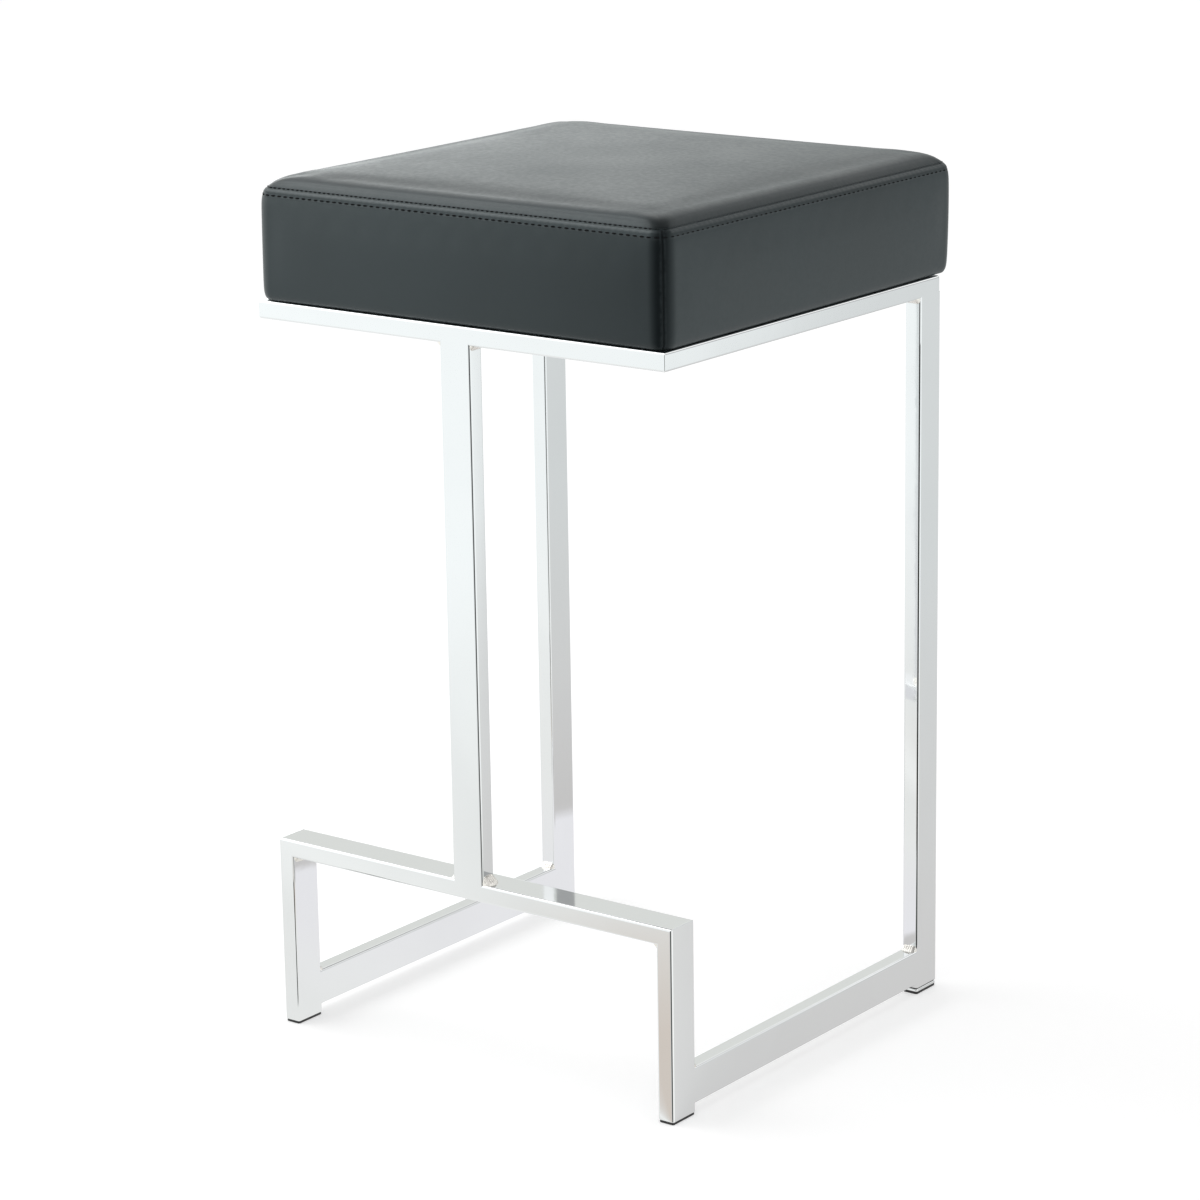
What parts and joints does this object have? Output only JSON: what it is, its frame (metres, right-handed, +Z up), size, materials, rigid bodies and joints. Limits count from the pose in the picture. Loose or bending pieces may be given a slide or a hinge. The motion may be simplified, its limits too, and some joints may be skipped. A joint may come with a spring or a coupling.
{
  "type": "counter stool",
  "caption": "Backless square stool: padded leatherette seat on a welded chrome tube frame with front footrest bar, centre post and floor rails.",
  "frame": {"origin": "on the floor, under the middle of the stool's overall box", "axes": "+Z up; -Y towards the footrest side, where the sitter's feet go; +X to the sitter's left, across the stool's width"},
  "size_m": [0.4, 0.4, 0.713],
  "materials": {
    "chrome": "polished chrome plate on steel tube",
    "cover": "charcoal leatherette, fine grain, satin",
    "foam": "open cell polyurethane foam",
    "board": "raw plywood",
    "dust_cover": "black non-woven sheet",
    "glide": "black moulded plastic",
    "fastener": "zinc plated"
  },
  "bodies": {
    "root": {"front_seat_rail": "chrome", "rear_seat_rail": "chrome", "left_seat_rail": "chrome", "right_seat_rail": "chrome", "left_front_leg": "chrome", "right_front_leg": "chrome", "left_rear_leg": "chrome", "right_rear_leg": "chrome", "footrest_bar": "chrome", "centre_post": "chrome", "left_floor_rail": "chrome", "right_floor_rail": "chrome", "footrest_welds": "chrome", "post_welds": "chrome", "floor_rail_welds": "chrome", "rear_leg_welds": "chrome", "left_front_end_plate": "chrome", "right_front_end_plate": "chrome", "left_rear_end_plate": "chrome", "right_rear_end_plate": "chrome", "left_front_glide": "glide", "right_front_glide": "glide", "left_rear_glide": "glide", "right_rear_glide": "glide", "seat_board": "board", "foam_block": "foam", "cover_top_panel": "cover", "cover_front_band": "cover", "cover_rear_band": "cover", "cover_left_band": "cover", "cover_right_band": "cover", "dust_cover": "dust_cover", "staples": "fastener", "insert_nuts": "fastener", "seat_screws": "fastener", "seat_washers": "fastener"}
  },
  "joints": []
}
